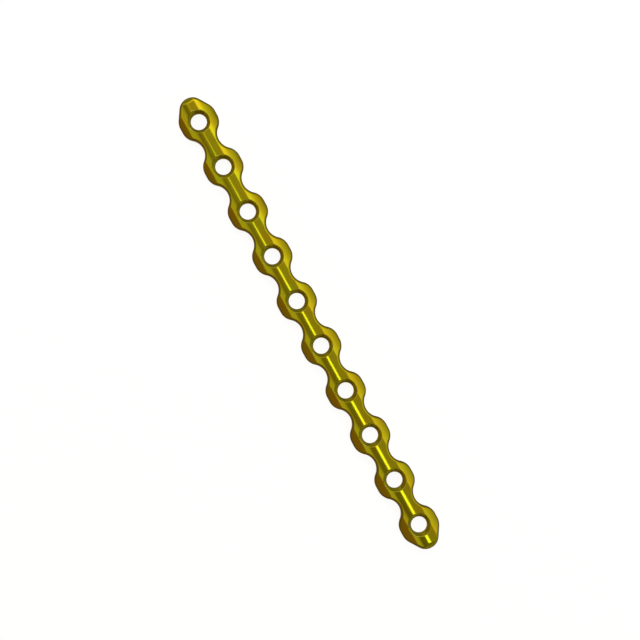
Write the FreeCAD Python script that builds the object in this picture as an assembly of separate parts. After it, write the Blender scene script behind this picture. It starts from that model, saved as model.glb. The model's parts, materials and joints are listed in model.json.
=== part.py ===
import FreeCAD
import Part
import math
import os

# Row of screw holes
hole_count = 10
hole_spacing = 12.0

# Outline: a lobe round every hole, with a short straight flank, and a waist between neighbours
plate_width = 9.2
flank_length = 1.2
shoulder_radius = 3.5
waist_width = 4.2

# Outline: bullet ends beyond the last holes
tip_reach = 6.1
tip_radius = 3.1

# Section: flat underside and a crowned top
plate_thickness = 3.0
crown_radius = 9.0

# Facet that slopes down to each tip
facet_start = 5.0
facet_angle = 30.0
facet_round = 0.8

# Hole: straight bore below, tapered screw seat above
bore_diameter = 3.8
bore_length = 1.1
seat_mouth_diameter = 5.4

# Edge finish
rim_break = 0.25
mouth_break = 0.25
underside_break = 0.2
bore_break = 0.15

# How far a cutting tool runs past the surface that it cuts
clear = 1.0

# Largest difference between two numbers that count as equal
tolerance = 1e-6

# Row of hole centres, with the origin at its middle
first_hole = -hole_spacing * (hole_count - 1) / 2
hole_places = [first_hole + hole_spacing * index for index in range(hole_count)]
last_hole = hole_places[-1]
plate_length = 2 * (last_hole + tip_reach)

# Shoulder arc: it leaves the straight flank at the flank's end
shoulder_x = flank_length / 2
shoulder_y = plate_width / 2 - shoulder_radius

# Notch arc at mid spacing: it touches the waist and both shoulder arcs beside it
half_spacing = hole_spacing / 2
half_waist = waist_width / 2
notch_run = half_spacing - shoulder_x
notch_rise = half_waist - shoulder_y
notch_depth = (plate_width - waist_width) / 2
notch_radius = (notch_run**2 + notch_rise**2 - shoulder_radius**2) / (2 * notch_depth)
notch_y = half_waist + notch_radius
notch_angle = math.atan2(notch_y - shoulder_y, notch_run)

# Tip arc and the straight line that touches it and the last shoulder arc
tip_x = tip_reach - tip_radius
tip_run = math.hypot(tip_x - shoulder_x, shoulder_y)
tip_turn = math.atan2(-shoulder_y, tip_x - shoulder_x)
tangent_angle = tip_turn + math.acos((shoulder_radius - tip_radius) / tip_run)


def point(centre_x, centre_y, radius, angle):
    """Point on a circle in the ground plane."""
    return FreeCAD.Vector(centre_x + radius * math.cos(angle), centre_y + radius * math.sin(angle), 0)


def arc(centre_x, centre_y, radius, start, end):
    """Arc edge between two angles of a circle."""
    angles = (start, (start + end) / 2, end)
    return Part.Arc(*[point(centre_x, centre_y, radius, angle) for angle in angles]).toShape()


def flank_edge(hole_x):
    """Straight flank beside one hole."""
    start = FreeCAD.Vector(hole_x - flank_length / 2, plate_width / 2, 0)
    end = FreeCAD.Vector(hole_x + flank_length / 2, plate_width / 2, 0)
    return Part.LineSegment(start, end).toShape()


def waist_edges(hole_x):
    """Shoulder, notch and shoulder, from one hole's flank to the next hole's."""
    upright = math.pi / 2
    next_x = hole_x + hole_spacing
    return [
        arc(hole_x + shoulder_x, shoulder_y, shoulder_radius, upright, notch_angle),
        arc(hole_x + half_spacing, notch_y, notch_radius, notch_angle - math.pi, -notch_angle),
        arc(next_x - shoulder_x, shoulder_y, shoulder_radius, math.pi - notch_angle, upright),
    ]


def bullet_edges():
    """Last shoulder, slanting line and round tip, from the last flank to the plate's middle line."""
    line_start = point(last_hole + shoulder_x, shoulder_y, shoulder_radius, tangent_angle)
    line_end = point(last_hole + tip_x, 0, tip_radius, tangent_angle)
    return [
        arc(last_hole + shoulder_x, shoulder_y, shoulder_radius, math.pi / 2, tangent_angle),
        Part.LineSegment(line_start, line_end).toShape(),
        arc(last_hole + tip_x, 0, tip_radius, tangent_angle, 0),
    ]


def outline_prism(height):
    """The whole outline, drawn for one side and mirrored, as a prism with a broken lower edge."""
    origin = FreeCAD.Vector(0, 0, 0)
    end = bullet_edges()
    side = end + [edge.mirror(origin, FreeCAD.Vector(1, 0, 0)) for edge in end]
    for hole_x in hole_places:
        side.append(flank_edge(hole_x))
    for hole_x in hole_places[:-1]:
        side.extend(waist_edges(hole_x))
    edges = side + [edge.mirror(origin, FreeCAD.Vector(0, 1, 0)) for edge in side]
    wire = Part.Wire(Part.sortEdges(edges)[0])
    prism = Part.Face(wire).extrude(FreeCAD.Vector(0, 0, height))
    lower_rim = [edge for edge in prism.Edges if edge.BoundBox.ZMax < tolerance]
    return prism.makeChamfer(underside_break, lower_rim)


def crowned_bar():
    """Bar along the plate with a flat underside and a top that is part of a large cylinder."""
    half_width = plate_width / 2 + clear
    half_length = plate_length / 2 + clear
    edge_height = plate_thickness - crown_radius + math.sqrt(crown_radius**2 - half_width**2)
    low_left = FreeCAD.Vector(-half_length, -half_width, 0)
    low_right = FreeCAD.Vector(-half_length, half_width, 0)
    high_right = FreeCAD.Vector(-half_length, half_width, edge_height)
    high_left = FreeCAD.Vector(-half_length, -half_width, edge_height)
    top = FreeCAD.Vector(-half_length, 0, plate_thickness)
    edges = [
        Part.LineSegment(low_left, low_right).toShape(),
        Part.LineSegment(low_right, high_right).toShape(),
        Part.Arc(high_right, top, high_left).toShape(),
        Part.LineSegment(high_left, low_left).toShape(),
    ]
    return Part.Face(Part.Wire(edges)).extrude(FreeCAD.Vector(2 * half_length, 0, 0))


def facet_cutter():
    """Wedge that takes the slope off the plate's right end."""
    start_x = last_hole + facet_start
    end_x = plate_length / 2 + clear
    drop = (end_x - start_x) * math.tan(math.radians(facet_angle))
    half_width = plate_width / 2 + clear
    corners = [
        FreeCAD.Vector(start_x, -half_width, plate_thickness),
        FreeCAD.Vector(end_x, -half_width, plate_thickness - drop),
        FreeCAD.Vector(end_x, -half_width, plate_thickness + clear),
        FreeCAD.Vector(start_x, -half_width, plate_thickness + clear),
    ]
    wedge = Part.Face(Part.makePolygon(corners + corners[:1]))
    return wedge.extrude(FreeCAD.Vector(0, 2 * half_width, 0))


def is_crown(face):
    """True for the top, a cylinder along the plate."""
    return isinstance(face.Surface, Part.Cylinder) and abs(face.Surface.Axis.x) > 1 - tolerance


def is_facet(face):
    """True for the facet at an end, a plane that slopes along the plate alone."""
    if not isinstance(face.Surface, Part.Plane):
        return False
    axis = face.Surface.Axis
    return abs(axis.x) > tolerance and abs(axis.y) < tolerance and abs(axis.z) > tolerance


def is_seat(face):
    """True for the taper of a screw hole."""
    return isinstance(face.Surface, Part.Cone)


def is_side(face):
    """True for an upright wall of the outline."""
    u_low, u_high, v_low, v_high = face.ParameterRange
    normal = face.normalAt((u_low + u_high) / 2, (v_low + v_high) / 2)
    return abs(normal.z) < tolerance


def shared_edges(shape, first_kind, second_kind):
    """Edges at which a face of one kind meets a face of the other."""
    first = [edge for face in shape.Faces if first_kind(face) for edge in face.Edges]
    second = [edge for face in shape.Faces if second_kind(face) for edge in face.Edges]
    return [edge for edge in first if any(edge.isSame(other) for other in second)]


def is_upright(edge):
    """True for an edge that runs straight up."""
    start, end = edge.Vertexes[0].Point, edge.Vertexes[-1].Point
    return math.hypot(start.x - end.x, start.y - end.y) < tolerance


def upper_rim(shape):
    """Edges that run round the outline along the top."""
    sides = [face for face in shape.Faces if is_side(face)]
    edges = [edge for face in sides for edge in face.Edges if not is_upright(edge)]
    return [edge for edge in edges if edge.BoundBox.ZMin > underside_break + tolerance]


def plate_blank():
    """Plate without its holes: outline, crown, end facets and broken rim."""
    blank = outline_prism(plate_thickness + clear).common(crowned_bar())
    cutter = facet_cutter()
    blank = blank.cut(cutter)
    blank = blank.cut(cutter.mirror(FreeCAD.Vector(0, 0, 0), FreeCAD.Vector(1, 0, 0)))
    blank = blank.makeFillet(facet_round, shared_edges(blank, is_crown, is_facet))
    return blank.makeChamfer(rim_break, upper_rim(blank))


def hole_tool(hole_x):
    """Turned shape of one screw hole: break at the underside, straight bore and tapered seat."""
    bore_radius = bore_diameter / 2
    widening = (seat_mouth_diameter / 2 - bore_radius) / (plate_thickness - bore_length)
    outer_radius = seat_mouth_diameter / 2 + clear * widening
    profile = [
        (0, -clear),
        (bore_radius + bore_break + clear, -clear),
        (bore_radius, bore_break),
        (bore_radius, bore_length),
        (outer_radius, plate_thickness + clear),
        (0, plate_thickness + clear),
    ]
    corners = [FreeCAD.Vector(hole_x + radius, 0, height) for radius, height in profile]
    half = Part.Face(Part.makePolygon(corners + corners[:1]))
    return half.revolve(FreeCAD.Vector(hole_x, 0, 0), FreeCAD.Vector(0, 0, 1), 360)


def bone_plate():
    """The finished plate."""
    plate = plate_blank()
    for hole_x in hole_places:
        plate = plate.cut(hole_tool(hole_x))
    return plate.makeChamfer(mouth_break, shared_edges(plate, is_seat, is_crown))


finished_plate = bone_plate()
os.makedirs("parts", exist_ok=True)
finished_plate.exportStep("parts/bone_plate.step")
print("volume in cubic millimetres", round(finished_plate.Volume, 1))
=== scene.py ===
import bpy
import json
import math
import numpy as np
from mathutils import Matrix, Vector


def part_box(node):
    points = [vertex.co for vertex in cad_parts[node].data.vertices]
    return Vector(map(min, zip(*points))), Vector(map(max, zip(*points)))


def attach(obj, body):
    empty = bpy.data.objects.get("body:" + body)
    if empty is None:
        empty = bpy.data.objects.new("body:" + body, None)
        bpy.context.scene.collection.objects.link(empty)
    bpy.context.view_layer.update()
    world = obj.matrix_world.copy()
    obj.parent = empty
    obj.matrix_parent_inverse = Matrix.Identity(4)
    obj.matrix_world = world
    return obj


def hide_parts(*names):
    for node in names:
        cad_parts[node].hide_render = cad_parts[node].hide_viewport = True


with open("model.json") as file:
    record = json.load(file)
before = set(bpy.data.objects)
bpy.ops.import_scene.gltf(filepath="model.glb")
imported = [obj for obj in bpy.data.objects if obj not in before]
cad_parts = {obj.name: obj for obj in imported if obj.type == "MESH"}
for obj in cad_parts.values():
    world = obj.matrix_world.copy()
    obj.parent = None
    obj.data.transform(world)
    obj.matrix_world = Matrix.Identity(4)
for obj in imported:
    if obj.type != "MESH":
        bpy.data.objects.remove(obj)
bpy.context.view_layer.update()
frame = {"record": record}


# Bone plate: one bar of titanium, milled flat beneath and to a long crown on top, with a lobe
# round every screw hole and a waist between two holes. Each hole is reamed to a tapered seat and
# threaded for a locking screw, and the plate is tumbled, so that every edge is round.
# Sizes are in millimetres and become metres where the mesh is made.
MM = 0.001

# What the solid says: its box, and the place and size of its ten bores
node_low, node_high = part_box("bone_plate")
plate_width = (node_high.y - node_low.y) / MM
plate_thickness = node_high.z / MM
bores = [mount for mount in frame["record"]["mounts"] if mount["kind"] == "bore"]
hole_places = sorted(mount["pos_m"][0] / MM for mount in bores)
hole_spacing = hole_places[1] - hole_places[0]
bore_radius = bores[0]["dims"]["r_mm"]
tip_reach = node_high.x / MM - hole_places[-1]

# Outline, crown, end facets and tapered seats, as in the solid
flank_length = 1.2
shoulder_radius = 3.5
waist_width = 4.2
tip_radius = 3.1
crown_radius = 9.0
facet_start = 5.0
facet_angle = math.radians(30)
facet_round = 0.8
bore_length = 1.1
seat_mouth_radius = 2.7

# Radius of the ball that rounds each kind of edge
rim_round = 0.74
mouth_round = 0.24
underside_round = 0.2
bore_round = 0.15

# Locking thread: its groove, the height over which it fades out at both ends of the seat, and the
# shares of half a pitch that its flat crest and its flank take
thread_pitch = 0.5
thread_depth = 0.2
thread_fade = 0.22
crest_share = 0.14
flank_share = 0.62

# Share of the edges' painted shade, a darker colour with softer gloss, that the lips of the mouths have
lip_painted_shade = 0.55

# Outline: shoulder arcs beside each flank, and a notch arc that touches both at mid spacing
shoulder_x = flank_length / 2
shoulder_y = plate_width / 2 - shoulder_radius
half_spacing = hole_spacing / 2
half_waist = waist_width / 2
notch_run = half_spacing - shoulder_x
notch_rise = half_waist - shoulder_y
notch_depth = plate_width / 2 - half_waist
notch_radius = (notch_run**2 + notch_rise**2 - shoulder_radius**2) / (2 * notch_depth)
notch_y = half_waist + notch_radius
notch_angle = math.atan2(notch_y - shoulder_y, notch_run)

# Outline at the ends: a tip arc, and a straight line that touches it and the last shoulder arc
tip_x = tip_reach - tip_radius
tip_run = math.hypot(tip_x - shoulder_x, shoulder_y)
tip_turn = math.atan2(-shoulder_y, tip_x - shoulder_x)
tangent_angle = tip_turn + math.acos((shoulder_radius - tip_radius) / tip_run)

# How finely each stretch of the outline and of the section is divided
flank_steps = 4
shoulder_steps = 11
notch_steps = 11
waist_steps = 14
tip_steps = 20
line_steps = 8
round_steps = 10
thread_steps = 34
top_steps = 9
end_top_steps = 34
underside_steps = 3

# Fine steps along which travel is summed, and the columns on each side that share in its mean
fine_steps = 400
neighbours = 7


def outline_arc(centre_x, centre_y, radius, start, end, steps, side=1):
    """Points on a circle from one angle up to another, and the way out of the metal there.
    A point is the centre plus radius times (cos, sin), and side -1 is an arc hollow to the outside."""
    angles = np.linspace(start, end, steps, endpoint=False)
    ways = np.stack([np.cos(angles), np.sin(angles)], axis=1)
    return (centre_x, centre_y) + radius * ways, side * ways


def outline_line(start, end, steps):
    """Points evenly from one end of a line up to the other, with the way out to its right."""
    start, end = np.array(start), np.array(end)
    shares = np.linspace(0, 1, steps, endpoint=False)[:, None]
    along = (end - start) / np.linalg.norm(end - start)
    return start + shares * (end - start), np.tile((along[1], -along[0]), (steps, 1))


def joined(pieces):
    """Stretches of outline one after another, as one array of points and one of ways out."""
    points = np.concatenate([piece[0] for piece in pieces])
    ways = np.concatenate([piece[1] for piece in pieces])
    return points, ways


def left_half():
    """Outline from the middle of a lobe's upper flank to mid spacing on its left, ends included."""
    upright = math.pi / 2
    leave = math.pi - notch_angle
    return joined([
        outline_line((0, plate_width / 2), (-shoulder_x, plate_width / 2), flank_steps // 2),
        outline_arc(-shoulder_x, shoulder_y, shoulder_radius, upright, leave, shoulder_steps),
        outline_arc(-half_spacing, notch_y, notch_radius, -notch_angle, -upright, notch_steps, side=-1),
        (np.array([[-half_spacing, half_waist]]), np.array([[0.0, 1.0]])),
    ])


def tip_ways():
    """Ways out of the metal round half the tip arc. The points crowd together at the crease, where
    the ball that rounds the rim passes from the facet to the crown: there its place hardly changes,
    while its contact with the top slides across the whole blend."""
    angles = np.linspace(0, tangent_angle, 15 * fine_steps + 1)
    ways = np.stack([np.cos(angles), np.sin(angles)], axis=1)
    x, y = ((hole_places[-1] + tip_x, 0) + (tip_radius - rim_round) * ways).T
    turn = np.linalg.norm(np.diff(top_surface(x, y, rim_round)[1], axis=0), axis=-1)
    travel = np.append(0, np.cumsum(1 / len(turn) + turn))
    angles = np.interp(np.linspace(0, 1, tip_steps, endpoint=False), travel / travel[-1], angles)
    return np.stack([np.cos(angles), np.sin(angles)], axis=1)


def bullet():
    """Outline from the tip of the plate to the middle of the last lobe's upper flank."""
    ways = tip_ways()
    upright = math.pi / 2
    line_way = np.array([math.cos(tangent_angle), math.sin(tangent_angle)])
    line_start = (tip_x, 0) + tip_radius * line_way
    line_end = (shoulder_x, shoulder_y) + shoulder_radius * line_way
    return joined([
        ((tip_x, 0) + tip_radius * ways, ways),
        outline_line(line_start, line_end, line_steps),
        outline_arc(shoulder_x, shoulder_y, shoulder_radius, tangent_angle, upright, shoulder_steps),
        outline_line((shoulder_x, plate_width / 2), (0, plate_width / 2), flank_steps // 2),
    ])


def turned(piece):
    """The same stretch of outline, turned half a turn about the hole."""
    return -piece[0], -piece[1]


def mirrored(piece, axis):
    """The same stretch, mirrored along X (axis 0) or Y (axis 1) and run the other way."""
    sign = np.ones(2)
    sign[axis] = -1
    return piece[0][::-1] * sign, piece[1][::-1] * sign


def waist_line():
    """Points down the middle of the waist on a lobe's left, between the two sides and without them."""
    across = np.linspace(half_waist, -half_waist, waist_steps + 2)[1:-1]
    points = np.stack([np.full(waist_steps, -half_spacing), across], axis=1)
    return points, np.zeros((waist_steps, 2))


def cell_border(end):
    """Loop round one hole: points, ways out, and which points lie on the plate's real outline.
    The loop runs to mid spacing at both sides, or round the tip at the plate's right end."""
    half = left_half()
    if end:
        below = mirrored(bullet(), 1)
        loop = [bullet(), half, waist_line(), mirrored(half, 1), (below[0][:-1], below[1][:-1])]
    else:
        right = mirrored(half, 0)
        upper = joined([right, (half[0][1:], half[1][1:])])
        loop = [upper, waist_line(), turned(upper), turned(waist_line())]
    points, ways = joined(loop)
    return points, ways, np.abs(ways).sum(axis=1) > 0


def top_surface(x, y, inset):
    """Height and outward normal of the plate's top, sunk by inset along its own normal.
    The crown is a cylinder along X, the facets are planes that fall towards the tips, and where
    they meet, the lower of the two is rounded off over a short blend."""
    radius = crown_radius - inset
    root = np.sqrt(radius**2 - y**2)
    crown = plate_thickness - crown_radius + root
    beyond = np.abs(x) - (hole_places[-1] + facet_start)
    facet = plate_thickness - beyond * math.tan(facet_angle) - inset / math.cos(facet_angle)
    reach = facet_round * math.tan(facet_angle / 2) * math.tan(facet_angle)
    blend = reach * (1 - inset / facet_round)
    share = np.clip(0.5 + 0.5 * (facet - crown) / blend, 0, 1)
    height = crown * share + facet * (1 - share) - blend * share * (1 - share)
    slope_x = (1 - share) * -math.tan(facet_angle) * np.sign(x)
    slope_y = share * -y / root
    normal = np.stack([-slope_x, -slope_y, np.ones_like(x)], axis=-1)
    return height, normal / np.linalg.norm(normal, axis=-1, keepdims=True)


def row_shares(hole_x, start, end, steps):
    """Shares of the way from one loop on the top to another at which rows of points lie. The travel
    between two rows is even, where travel is the share plus the turn of the surface's normal, as a
    mean over the columns beside it. So rows lie closer where the top bends, and run on smoothly."""
    fine = np.linspace(0, 1, fine_steps + 1)[:, None]
    x, y = [start[:, axis] * (1 - fine) + end[:, axis] * fine for axis in (0, 1)]
    turn = np.linalg.norm(np.diff(top_surface(hole_x + x, y, 0.0)[1], axis=0), axis=-1)
    travel = np.cumsum(1 / fine_steps + turn, axis=0)
    travel = travel / travel[-1]
    shifts = range(-neighbours, neighbours + 1)
    travel = sum(np.roll(travel, shift, axis=1) for shift in shifts) / len(shifts)
    wanted = np.linspace(0, 1, steps + 1)[1:-1, None, None]
    return (travel < wanted).sum(axis=1)[..., None] / fine_steps


def swept(start, end, shares):
    """Unit vectors that turn evenly from one unit vector to another. At a share s of the turn t, that
    is (sin((1 - s) t) times the first plus sin(s t) times the second), over sin(t)."""
    turn = np.arccos(np.clip((start * end).sum(axis=-1, keepdims=True), -1, 1))
    shares = shares[:, None, None]
    return (np.sin((1 - shares) * turn) * start + np.sin(shares * turn) * end) / np.sin(turn)


def thread_profile(turns):
    """Depth of the thread's groove, from 0 on its flat crest to 1 on its flat root, at a place counted
    in turns. It rises evenly over the flank's share of half a pitch, past the crest's share."""
    place = np.abs((turns % 1.0) - 0.5) * 2
    return np.clip((place - crest_share) / flank_share, 0, 1)


def edge_painted_shade(normal_z):
    """Share of the edges' painted shade, by the height part of the surface's normal: a darker colour
    that stands in for the dark reflections on the edges, and a softer gloss. None on the top and the
    underside, all of it on the round upper edges, most of it on the lower ones and a third on the
    upright walls, with an even change between those."""
    turned_to = [-1.0, -0.6, 0.0, 0.3, 0.75, 0.87]
    return np.interp(normal_z, turned_to, [0.0, 0.8, 0.35, 1.0, 1.0, 0.0])


def cell_section(hole_x, border, end):
    """All rows of points round one hole, from the bore's lower edge up through the seat, over the
    top, down the outline and back beneath, with a normal for each point and its shares of the seat's
    and the edges' painted shade, which also set the finish.
    Round edges follow a ball that rolls between the two surfaces beside them: its centre lies on
    both, each sunk by the ball's radius, and a point is the centre plus the radius times a unit
    vector swept from one surface's normal to the other's."""
    ground, ways, rim = border
    count = len(ground)
    flat = np.concatenate([ways, np.zeros((count, 1))], axis=1)
    up, down = np.array([0, 0, 1.0]), np.array([0, 0, -1.0])

    # Upper rim: where the ball lies, and the edge where it leaves the top
    centre = ground - rim_round * ways
    height, normal = top_surface(hole_x + centre[:, 0], centre[:, 1], rim_round)
    ball = np.column_stack([centre, height])
    edge = ball + rim_round * normal
    corner_y = (half_waist - rim_round) * crown_radius / (crown_radius - rim_round)
    waist_y = ground[~rim, 1] * corner_y / half_waist
    edge[~rim, 1] = waist_y
    edge[~rim, 0] = ground[~rim, 0]
    edge[~rim, 2], normal[~rim] = top_surface(hole_x + edge[~rim, 0], waist_y, 0.0)
    swing = np.arctan2(edge[:, 1], edge[:, 0])
    radial = np.stack([np.cos(swing), np.sin(swing), np.zeros(count)], axis=1)

    # Mouth: the ball's height and reach depend on each other, and settle within 12 rounds
    taper = math.atan((seat_mouth_radius - bore_radius) / (plate_thickness - bore_length))
    seat_normal = -math.cos(taper) * radial + math.sin(taper) * up
    ball_z = np.full(count, plate_thickness - mouth_round)
    for _ in range(12):
        ball_r = bore_radius + (ball_z - bore_length) * math.tan(taper) + mouth_round / math.cos(taper)
        mouth = ball_r[:, None] * radial[:, :2]
        ball_z, mouth_normal = top_surface(hole_x + mouth[:, 0], mouth[:, 1], mouth_round)
    mouth_ball = np.column_stack([mouth, ball_z])

    rows, normals, painted_shade_and_finish = [], [], []

    def add(points, normal_rows, seat=0.0, edge=0.0):
        """Appends rows of points, with their share of the seat's and of the edge's painted shade and
        finish.
        """
        points = points.reshape(-1, count, 3)
        rows.append(points)
        normals.append(np.broadcast_to(normal_rows, points.shape))
        both = [np.broadcast_to(share, points.shape[:2]) for share in (seat, edge)]
        painted_shade_and_finish.append(np.stack(both, axis=-1))

    # Lower edge of the bore. Edges beneath take every third row of a round edge on top.
    shares = np.linspace(0, 1, round_steps)
    few_shares = shares[::3]
    lower = swept(np.broadcast_to(down, radial.shape), -radial, few_shares)
    lower_rows = (bore_radius + bore_round) * radial + bore_round * up + bore_round * lower
    add(lower_rows, lower, seat=few_shares[:, None])

    # Seat: the taper's radius at each height, plus the groove, which climbs one pitch in each turn
    seat_top = mouth_ball + mouth_round * seat_normal
    climb = np.linspace(0, 1, thread_steps)[:, None]
    height = bore_length + climb * (seat_top[:, 2] - bore_length)
    turns = height / thread_pitch - swing / (2 * math.pi)
    fade_in = np.clip((height - bore_length) / thread_fade, 0, 1)
    fade_out = np.clip((seat_top[:, 2] - height) / thread_fade, 0, 1)
    groove = thread_depth * fade_in * fade_out * thread_profile(turns)
    reach = bore_radius + (height - bore_length) * math.tan(taper) + groove
    seat = reach[..., None] * radial + height[..., None] * up
    around = np.roll(seat, -1, axis=1) - np.roll(seat, 1, axis=1)
    seat_normals = np.cross(np.gradient(seat, axis=0), around)
    seat_normals /= np.linalg.norm(seat_normals, axis=-1, keepdims=True)
    if (seat_normals * radial).sum() > 0:
        seat_normals = -seat_normals
    seat_normals[0], seat_normals[-1] = -radial, seat_normal
    add(seat, seat_normals, seat=1.0)
    lip = swept(seat_normal, mouth_normal, shares[1:])
    lip_rows = mouth_ball + mouth_round * lip
    # The lips take part of the edges' painted shade
    add(lip_rows, lip, seat=1 - shares[1:, None], edge=lip_painted_shade * edge_painted_shade(lip[..., 2]))

    # Top, between the lip and the rim
    lip_edge = mouth_ball + mouth_round * mouth_normal
    shares_top = row_shares(hole_x, lip_edge, edge, end_top_steps if end else top_steps)
    spread = lip_edge * (1 - shares_top) + edge * shares_top
    spread[..., 2], spread_normal = top_surface(hole_x + spread[..., 0], spread[..., 1], 0.0)
    add(spread, spread_normal)

    # Rim, wall and lower edge, and then the underside
    rim_first = sum(len(block) for block in rows)
    bent = swept(normal, flat, shares)
    turned_edge = ball + rim_round * bent
    turned_edge[0] = edge
    # The rim, the wall and the lower edge take the edges' painted shade
    add(turned_edge, bent, edge=edge_painted_shade(bent[..., 2]))
    under = swept(flat, np.broadcast_to(down, flat.shape), few_shares)
    foot = np.column_stack([ground - underside_round * ways, np.full(count, underside_round)])
    foot_rows = foot + underside_round * under
    foot_rows[-1, ~rim, 0] = ground[~rim, 0]
    foot_rows[-1, ~rim, 1] = ground[~rim, 1] * (half_waist - underside_round) / half_waist
    foot_rows[-1, :, 2] = 0
    add(foot_rows, under, edge=edge_painted_shade(under[..., 2]))
    rim_last = sum(len(block) for block in rows) - 1
    inner = (bore_radius + bore_round) * radial
    shares_low = np.linspace(0, 1, underside_steps + 1)[1:-1, None, None]
    add(foot_rows[-1] * (1 - shares_low) + inner * shares_low, down)

    points, normals, painted_shade_and_finish = [np.concatenate(blocks) for blocks in (rows, normals, painted_shade_and_finish)]
    normals[rim_first, ~rim] = normal[~rim]
    normals[rim_last] = down
    return points + (hole_x, 0, 0), normals, painted_shade_and_finish, rim_first, rim_last


def cell_faces(shape, rim, rim_first, rim_last):
    """Quads between neighbouring rows and columns of a cell, closed both ways round. Between the
    rim's first and last row, only the columns on the real outline have faces."""
    row_count, column_count = shape
    rows, columns = np.meshgrid(np.arange(row_count), np.arange(column_count), indexing="ij")
    next_row, next_column = (rows + 1) % row_count, (columns + 1) % column_count
    quads = np.stack([
        rows * column_count + columns,
        next_row * column_count + columns,
        next_row * column_count + next_column,
        rows * column_count + next_column,
    ], axis=-1)
    on_rim = rim & np.roll(rim, -1)
    inside = (rows < rim_first) | (rows >= rim_last)
    return quads[inside | on_rim[columns]]


# One cell round each hole: the first is the last one's outline, turned half a turn
all_points, all_normals, all_painted_shade_and_finish, all_faces = [], [], [], []
offset = 0
for number, hole_x in enumerate(hole_places):
    end = number in (0, len(hole_places) - 1)
    ground, ways, rim = cell_border(end)
    if number == 0:
        ground, ways = -ground, -ways
    points, normals, painted_shade_and_finish, rim_first, rim_last = cell_section(hole_x, (ground, ways, rim), end)
    all_faces.append(cell_faces(points.shape[:2], rim, rim_first, rim_last) + offset)
    all_points.append(points.reshape(-1, 3))
    all_normals.append(normals.reshape(-1, 3))
    all_painted_shade_and_finish.append(painted_shade_and_finish.reshape(-1, 2))
    offset += points.shape[0] * points.shape[1]
points = np.concatenate(all_points)
normals = np.concatenate(all_normals)
painted_shade_and_finish = np.concatenate(all_painted_shade_and_finish)
faces = np.concatenate(all_faces)

# Neighbouring cells share the points down the middle of the waist, which agree to 0.00001 mm
_, first_seen, shared = np.unique(np.round(points, 5), axis=0, return_index=True, return_inverse=True)
faces = shared.reshape(-1)[faces]
used, faces = np.unique(faces, return_inverse=True)
faces = faces.reshape(-1, 4)
kept = first_seen[used]
points, normals, painted_shade_and_finish = points[kept], normals[kept], painted_shade_and_finish[kept]

plate_mesh = bpy.data.meshes.new("bone_plate_dressed")
plate_mesh.from_pydata((points * MM).tolist(), [], faces.tolist())
plate_mesh.polygons.foreach_set("use_smooth", np.ones(len(faces), dtype=bool))
# Each point keeps its shares of the seats' and the edges' painted shade, which the material reads
for name, share in zip(("seat", "edge"), painted_shade_and_finish.T):
    attribute = plate_mesh.attributes.new(name, "FLOAT", "POINT")
    attribute.data.foreach_set("value", np.ascontiguousarray(share, dtype=np.float32))
plate_mesh.update()
plate_mesh.normals_split_custom_set_from_vertices(normals.tolist())
plate = bpy.data.objects.new("dressed_bone_plate", plate_mesh)
bpy.context.scene.collection.objects.link(plate)


def linear(colour):
    """An sRGB hex colour, such as #C9B21E, as linear red, green, blue and alpha. A dark share is
    divided by 12.92, and a lighter one is shifted by 0.055 and raised to the power of 2.4."""
    shares = np.array([int(colour[place:place + 2], 16) / 255 for place in (1, 3, 5)])
    straight = shares / 12.92
    curved = ((shares + 0.055) / 1.055) ** 2.4
    return np.where(shares <= 0.04045, straight, curved).tolist() + [1.0]


def node(tree, kind, inputs=None, **settings):
    """Adds a node with its settings. Each input takes a value, or a link from another node's socket."""
    made = tree.nodes.new(kind)
    for name, value in settings.items():
        setattr(made, name, value)
    for name, value in (inputs or {}).items():
        if isinstance(value, bpy.types.NodeSocket):
            tree.links.new(value, made.inputs[name])
        else:
            made.inputs[name].default_value = value
    return made
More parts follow.
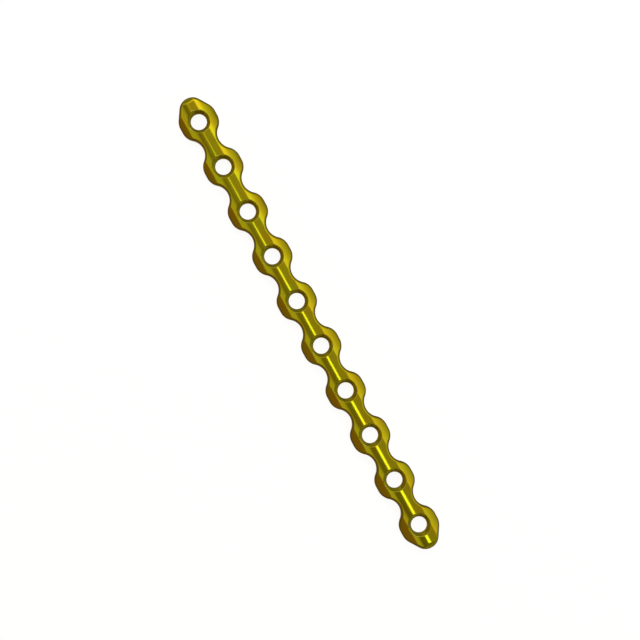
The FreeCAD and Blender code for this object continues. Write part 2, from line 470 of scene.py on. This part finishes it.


# Anodised titanium: ground along its length, polished, and then given a thin oxide that shows as
# greenish gold. It gives clear reflections with faint polishing lines in them. The oxide varies a
# little from place to place. The edges are painted a dark brown and the threaded seats a darker,
# greener gold. Both are painted shade for the dark reflections there, and both have softer gloss.
# Pale patches on the mouths are painted glints that also read as rubbed oxide.
# A metal's colour lies in its reflections alone.
def anodised_titanium():
    """Material of the whole plate."""
    made = bpy.data.materials.new("anodised_titanium")
    made.use_nodes = True
    tree = made.node_tree
    tree.nodes.clear()
    place = node(tree, "ShaderNodeTexCoord").outputs["Object"]
    seat = node(tree, "ShaderNodeAttribute", attribute_name="seat").outputs["Fac"]
    edge = node(tree, "ShaderNodeAttribute", attribute_name="edge").outputs["Fac"]

    # Thickness of the oxide: patches some 3.5 mm wide, from a warmer to a greener gold
    cloud = node(tree, "ShaderNodeTexNoise", {
        "Vector": place,
        "Scale": 1 / (3.5 * MM),
        "Detail": 3.0,
    }).outputs["Fac"]
    greener = node(tree, "ShaderNodeMapRange", {
        "Value": cloud,
        "From Min": 0.3,
        "From Max": 0.7,
    }).outputs["Result"]
    gold = node(tree, "ShaderNodeMix", {
        "Factor": greener,
        "A": linear("#CBAE16"),
        "B": linear("#C0BA18"),
    }, data_type="RGBA").outputs[2]
    # Painted shade: the threaded seats get a darker, greener gold than the top, standing in for the
    # shade inside the holes
    seat_painted_shade = node(tree, "ShaderNodeMix", {
        "Factor": seat,
        "A": gold,
        "B": linear("#A3951A"),
    }, data_type="RGBA").outputs[2]
    # Painted shade: the edge attribute mixes the colour towards a dark brown that stands in for the
    # dark room the edges reflect
    painted_dark_edges = node(tree, "ShaderNodeMix", {
        "Factor": edge,
        "A": seat_painted_shade,
        "B": linear("#57491A"),
    }, data_type="RGBA").outputs[2]

    # Painted glints, partly wear: patches just under 1 mm wide along the mouths of the holes, where
    # the seat's share is neither 0 nor 1, go towards a pale silvery gold, as if the oxide were rubbed
    # thin
    rub_and_glint_noise = node(tree, "ShaderNodeTexNoise", {
        "Vector": place,
        "Scale": 1 / (0.9 * MM),
        "Detail": 4.0,
    }).outputs["Fac"]
    patch = node(tree, "ShaderNodeMapRange", {
        "Value": rub_and_glint_noise,
        "From Min": 0.52,
        "From Max": 0.66,
    }).outputs["Result"]
    inside = node(tree, "ShaderNodeMath", {0: 1.0, 1: seat}, operation="SUBTRACT").outputs[0]
    mouth = node(tree, "ShaderNodeMath", {0: inside, 1: seat}, operation="MULTIPLY").outputs[0]
    rub_and_glint_share = node(tree, "ShaderNodeMath", {0: mouth, 1: patch}, operation="MULTIPLY").outputs[0]
    rub_and_glint_share = node(tree, "ShaderNodeMath", {0: rub_and_glint_share, 1: 1.2}, operation="MULTIPLY").outputs[0]
    worn_with_painted_glints = node(tree, "ShaderNodeMix", {
        "Factor": rub_and_glint_share,
        "A": painted_dark_edges,
        "B": linear("#C9C6A6"),
    }, data_type="RGBA").outputs[2]

    # Relief: polishing lines 0.12 mm apart and some 5 mm long, over a grain of 0.08 mm. The real
    # ones are too fine to show in the render, so both are drawn coarser.
    stretch = (1 / (5 * MM), 1 / (0.12 * MM), 1 / (0.12 * MM))
    along = node(tree, "ShaderNodeMapping", {"Vector": place, "Scale": stretch}).outputs[0]
    lines = node(tree, "ShaderNodeTexNoise", {"Vector": along, "Scale": 1.0, "Detail": 2.0})
    grain = node(tree, "ShaderNodeTexNoise", {
        "Vector": place,
        "Scale": 1 / (0.08 * MM),
        "Detail": 2.0,
    })
    relief = node(tree, "ShaderNodeMix", {
        "Factor": 0.3,
        "A": lines.outputs["Fac"],
        "B": grain.outputs["Fac"],
    }).outputs[0]
    bump = node(tree, "ShaderNodeBump", {
        "Height": relief,
        "Strength": 0.2,
        "Distance": 0.012 * MM,
    }).outputs[0]

    # Gloss: clear on the top with smears 1.5 mm wide, softer on the tumbled edges and in the threads
    smears = node(tree, "ShaderNodeTexNoise", {
        "Vector": place,
        "Scale": 1 / (1.5 * MM),
        "Detail": 3.0,
    }).outputs["Fac"]
    on_top = node(tree, "ShaderNodeMapRange", {
        "Value": smears,
        "To Min": 0.04,
        "To Max": 0.12,
    }).outputs["Result"]
    on_edges = node(tree, "ShaderNodeMath", {
        0: edge,
        1: 0.24,
        2: on_top,
    }, operation="MULTIPLY_ADD").outputs[0]
    roughness = node(tree, "ShaderNodeMath", {
        0: seat,
        1: 0.08,
        2: on_edges,
    }, operation="MULTIPLY_ADD").outputs[0]
    shader = node(tree, "ShaderNodeBsdfPrincipled", {
        "Base Color": worn_with_painted_glints,
        "Metallic": 1.0,
        "Roughness": roughness,
        "Specular Tint": linear("#8C7A2A"),
        "Normal": bump,
    })
    node(tree, "ShaderNodeOutputMaterial", {"Surface": shader.outputs["BSDF"]})
    return made


plate_mesh.materials.append(anodised_titanium())
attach(plate, "root")
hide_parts("bone_plate")


# Floor: a wide sheet of matt white board that the plate lies on, an even white to the eye that
# still takes the plate's soft shadow. It reaches 4 m each way and lies 0.01 mm below the plate.
floor_reach = 4.0
floor_height = -0.01 * MM
floor_corners = [(-1, -1), (1, -1), (1, 1), (-1, 1)]
floor_points = [(x * floor_reach, y * floor_reach, floor_height) for x, y in floor_corners]
floor_mesh = bpy.data.meshes.new("floor")
floor_mesh.from_pydata(floor_points, [], [(0, 1, 2, 3)])
floor = bpy.data.objects.new("floor", floor_mesh)
bpy.context.scene.collection.objects.link(floor)
white_board = bpy.data.materials.new("matt_white_board")
white_board.use_nodes = True
tree = white_board.node_tree
tree.nodes.clear()

# Where it is seen or mirrored, 72% of the board is an even glow, and together they come to white
path = node(tree, "ShaderNodeLightPath").outputs
seen = node(tree, "ShaderNodeMath", {
    0: path["Is Camera Ray"],
    1: path["Is Glossy Ray"],
}, operation="MAXIMUM")
seen = node(tree, "ShaderNodeMath", {
    0: seen.outputs[0],
    1: path["Is Transmission Ray"],
}, operation="MAXIMUM")
even = node(tree, "ShaderNodeMath", {0: seen.outputs[0], 1: 0.72}, operation="MULTIPLY")
board = node(tree, "ShaderNodeBsdfDiffuse", {"Color": linear("#F2F2F2")})
glow = node(tree, "ShaderNodeEmission", {"Color": linear("#FFFFFF"), "Strength": 1.25})
mixed = node(tree, "ShaderNodeMixShader", {
    0: even.outputs[0],
    1: board.outputs[0],
    2: glow.outputs[0],
})
node(tree, "ShaderNodeOutputMaterial", {"Surface": mixed.outputs[0]})
floor_mesh.materials.append(white_board)


# Studio light: a pale even room, and flat cards on a frame one metre overhead, which the polished
# top mirrors as long bands. The cards at the ends hang 10 mm higher and one in front of them 20 mm
# lower, so that none touch. Each glow was matched to the band that the real plate shows.
card_height = 1.0
end_height = 1.01
front_height = 0.98


def card(name, start, end, lower, upper, colour, glow, height=card_height):
    """A flat card overhead, from one X to another. Each long edge is y = place + slope * x, given as
    (place, slope). The glow is a grid of strengths: its rows go evenly from the lower edge to the
    upper, and each row evenly from start to end. It changes evenly between its points. All lengths
    are in metres."""
    glow = np.array(glow, dtype=np.float32)
    across, along = np.meshgrid(*[np.linspace(0, 1, count) for count in glow.shape], indexing="ij")
    x = start + along * (end - start)
    low, high = lower[0] + lower[1] * x, upper[0] + upper[1] * x
    points = np.stack([x, low + across * (high - low), np.full_like(x, height)], axis=-1)
    rows, columns = np.meshgrid(*[np.arange(count - 1) for count in glow.shape], indexing="ij")
    corner = rows * glow.shape[1] + columns
    above = corner + glow.shape[1]
    quads = np.stack([corner, above, above + 1, corner + 1], axis=-1)
    mesh = bpy.data.meshes.new(name)
    mesh.from_pydata(points.reshape(-1, 3).tolist(), [], quads.reshape(-1, 4).tolist())
    mesh.attributes.new("glow", "FLOAT", "POINT").data.foreach_set("value", glow.reshape(-1))
    made = bpy.data.objects.new(name, mesh)
    bpy.context.scene.collection.objects.link(made)
    made.visible_camera = False
    material = bpy.data.materials.new(name)
    material.use_nodes = True
    tree = material.node_tree
    tree.nodes.clear()
    strength = node(tree, "ShaderNodeAttribute", attribute_name="glow").outputs["Fac"]
    light = node(tree, "ShaderNodeEmission", {"Color": linear(colour), "Strength": strength})
    node(tree, "ShaderNodeOutputMaterial", {"Surface": light.outputs[0]})
    mesh.materials.append(material)


# Long edges that neighbouring cards share, from the far side to the near one
side_high = (2.3, 0.0)
yellow_high = (1.704, 0.91)
yellow_low = (0.504, 0.91)
strip_high = (0.056, 0.53)
strip_low = (-0.031, 0.23)
end_line = (-0.25, 0.0)
flag_low = (-0.30, 0.0)
pale_low = (-0.70, 0.57)
brown_low = (-2.8, 0.0)
card("strip_light", -0.17, 0.30, strip_low, strip_high, "#EBFFE4", [
    [0.6, 2.3, 2.3, 2.3],
    [0.6, 2.3, 2.3, 2.3],
])
card("grey_card", -0.6, 0.6, strip_high, yellow_low, "#FFFAF0", [
    [0.55, 0.41, 0.26],
    [0.55, 0.41, 0.26],
])
card("side_softbox", -0.6, 0.6, yellow_low, yellow_high, "#FFFDF2", [
    [2.6, 1.15, 0.35],
    [1.15, 0.90, 0.35],
    [0.8, 0.64, 0.40],
    [0.6, 0.55, 0.45],
    [0.35, 0.33, 0.42],
])
card("dark_flag", -0.2, 0.2, flag_low, strip_low, "#FFFAEC", [
    [0.10, 0.26, 0.24, 0.22, 0.17],
    [0.15, 0.31, 0.24, 0.21, 0.15],
    [0.32, 0.36, 0.25, 0.21, 0.17],
    [0.42, 0.40, 0.34, 0.30, 0.28],
])
card("pale_card", -0.6, 0.6, pale_low, flag_low, "#F8FFEC", [
    [0.72, 0.70, 0.66],
    [0.60, 0.60, 0.60],
    [0.62, 0.62, 0.64],
    [0.34, 0.33, 0.33],
])
card("warm_card", -0.6, 0.6, brown_low, pale_low, "#FFCDA0", [
    [0.27, 0.27],
    [0.24, 0.24],
    [0.28, 0.28],
])
card("side_filler", -0.6, 0.6, yellow_high, side_high, "#FFFAF0", [
    [0.26, 0.30, 0.45],
    [0.30, 0.33, 0.45],
])
card("window_wall", -3.0, 3.0, side_high, (6.0, 0.0), "#FFFAF0", [
    [0.6, 0.6],
    [1.3, 1.3],
    [1.3, 1.3],
])
card("far_wall", -3.0, 3.0, (-6.0, 0.0), brown_low, "#FFCDA0", [
    [0.9, 0.9],
    [0.55, 0.55],
    [0.30, 0.30],
])
card("pale_end", -3.0, -0.2, end_line, side_high, "#EAFFE0", [
    [0.30, 0.33, 0.36],
    [0.26, 0.28, 0.30],
], height=end_height)
card("tan_end", -3.0, -0.2, brown_low, end_line, "#FFDDB4", [
    [0.60, 0.50, 0.35],
    [0.29, 0.28, 0.29],
    [0.30, 0.31, 0.33],
], height=end_height)
card("dim_end", 0.2, 3.0, end_line, side_high, "#F6FAD8", [
    [0.17, 0.15, 0.15, 0.42],
    [0.36, 0.37, 0.42, 0.52],
    [0.42, 0.42, 0.45, 0.52],
], height=end_height)
card("brown_end", 0.2, 3.0, brown_low, end_line, "#FFCDA0", [
    [0.30, 0.35, 0.50, 0.60],
    [0.09, 0.06, 0.12, 0.50],
    [0.17, 0.15, 0.15, 0.35],
], height=end_height)
card("end_softbox", -1.9, -0.2, (-0.5, 0.0), (0.9, 0.0), "#FFFDF2", [
    [0.33, 0.33, 0.33, 0.33, 0.33],
    [0.33, 0.80, 0.50, 0.45, 0.45],
    [0.33, 0.60, 0.50, 1.10, 1.30],
    [0.33, 0.40, 0.50, 1.60, 2.00],
    [0.30, 0.30, 0.30, 0.30, 0.30],
], height=front_height)

world = bpy.data.worlds.new("pale_room")
bpy.context.scene.world = world
world.use_nodes = True
world.node_tree.nodes.clear()
room = node(world.node_tree, "ShaderNodeBackground", {"Color": linear("#FFFAF0"), "Strength": 0.9})
node(world.node_tree, "ShaderNodeOutputWorld", {"Surface": room.outputs[0]})


# Camera: a long lens almost straight above, turned so that the plate runs down and to the right.
# It stands 0.55 m away, a little nearer to the first hole, and looks at a point beside the middle.
camera_place = Vector((-4.0, -20.0, 553.0)) * MM
camera_aim = Vector((0.555, 2.704, 0.0)) * MM
picture_right = Vector((0.47976, 0.87740, 0.0))
camera_data = bpy.data.cameras.new("camera")
camera_data.sensor_width = 36.0
camera_data.lens = 131.93
camera_data.clip_start, camera_data.clip_end = 0.01, 20.0
camera = bpy.data.objects.new("camera", camera_data)
bpy.context.scene.collection.objects.link(camera)
forward = (camera_aim - camera_place).normalized()
right = (picture_right - picture_right.dot(forward) * forward).normalized()
picture_up = right.cross(forward)
turn = Matrix((right, picture_up, -forward)).transposed().to_4x4()
camera.matrix_world = Matrix.Translation(camera_place) @ turn
bpy.context.scene.camera = camera
bpy.context.scene.view_settings.view_transform = "Standard"
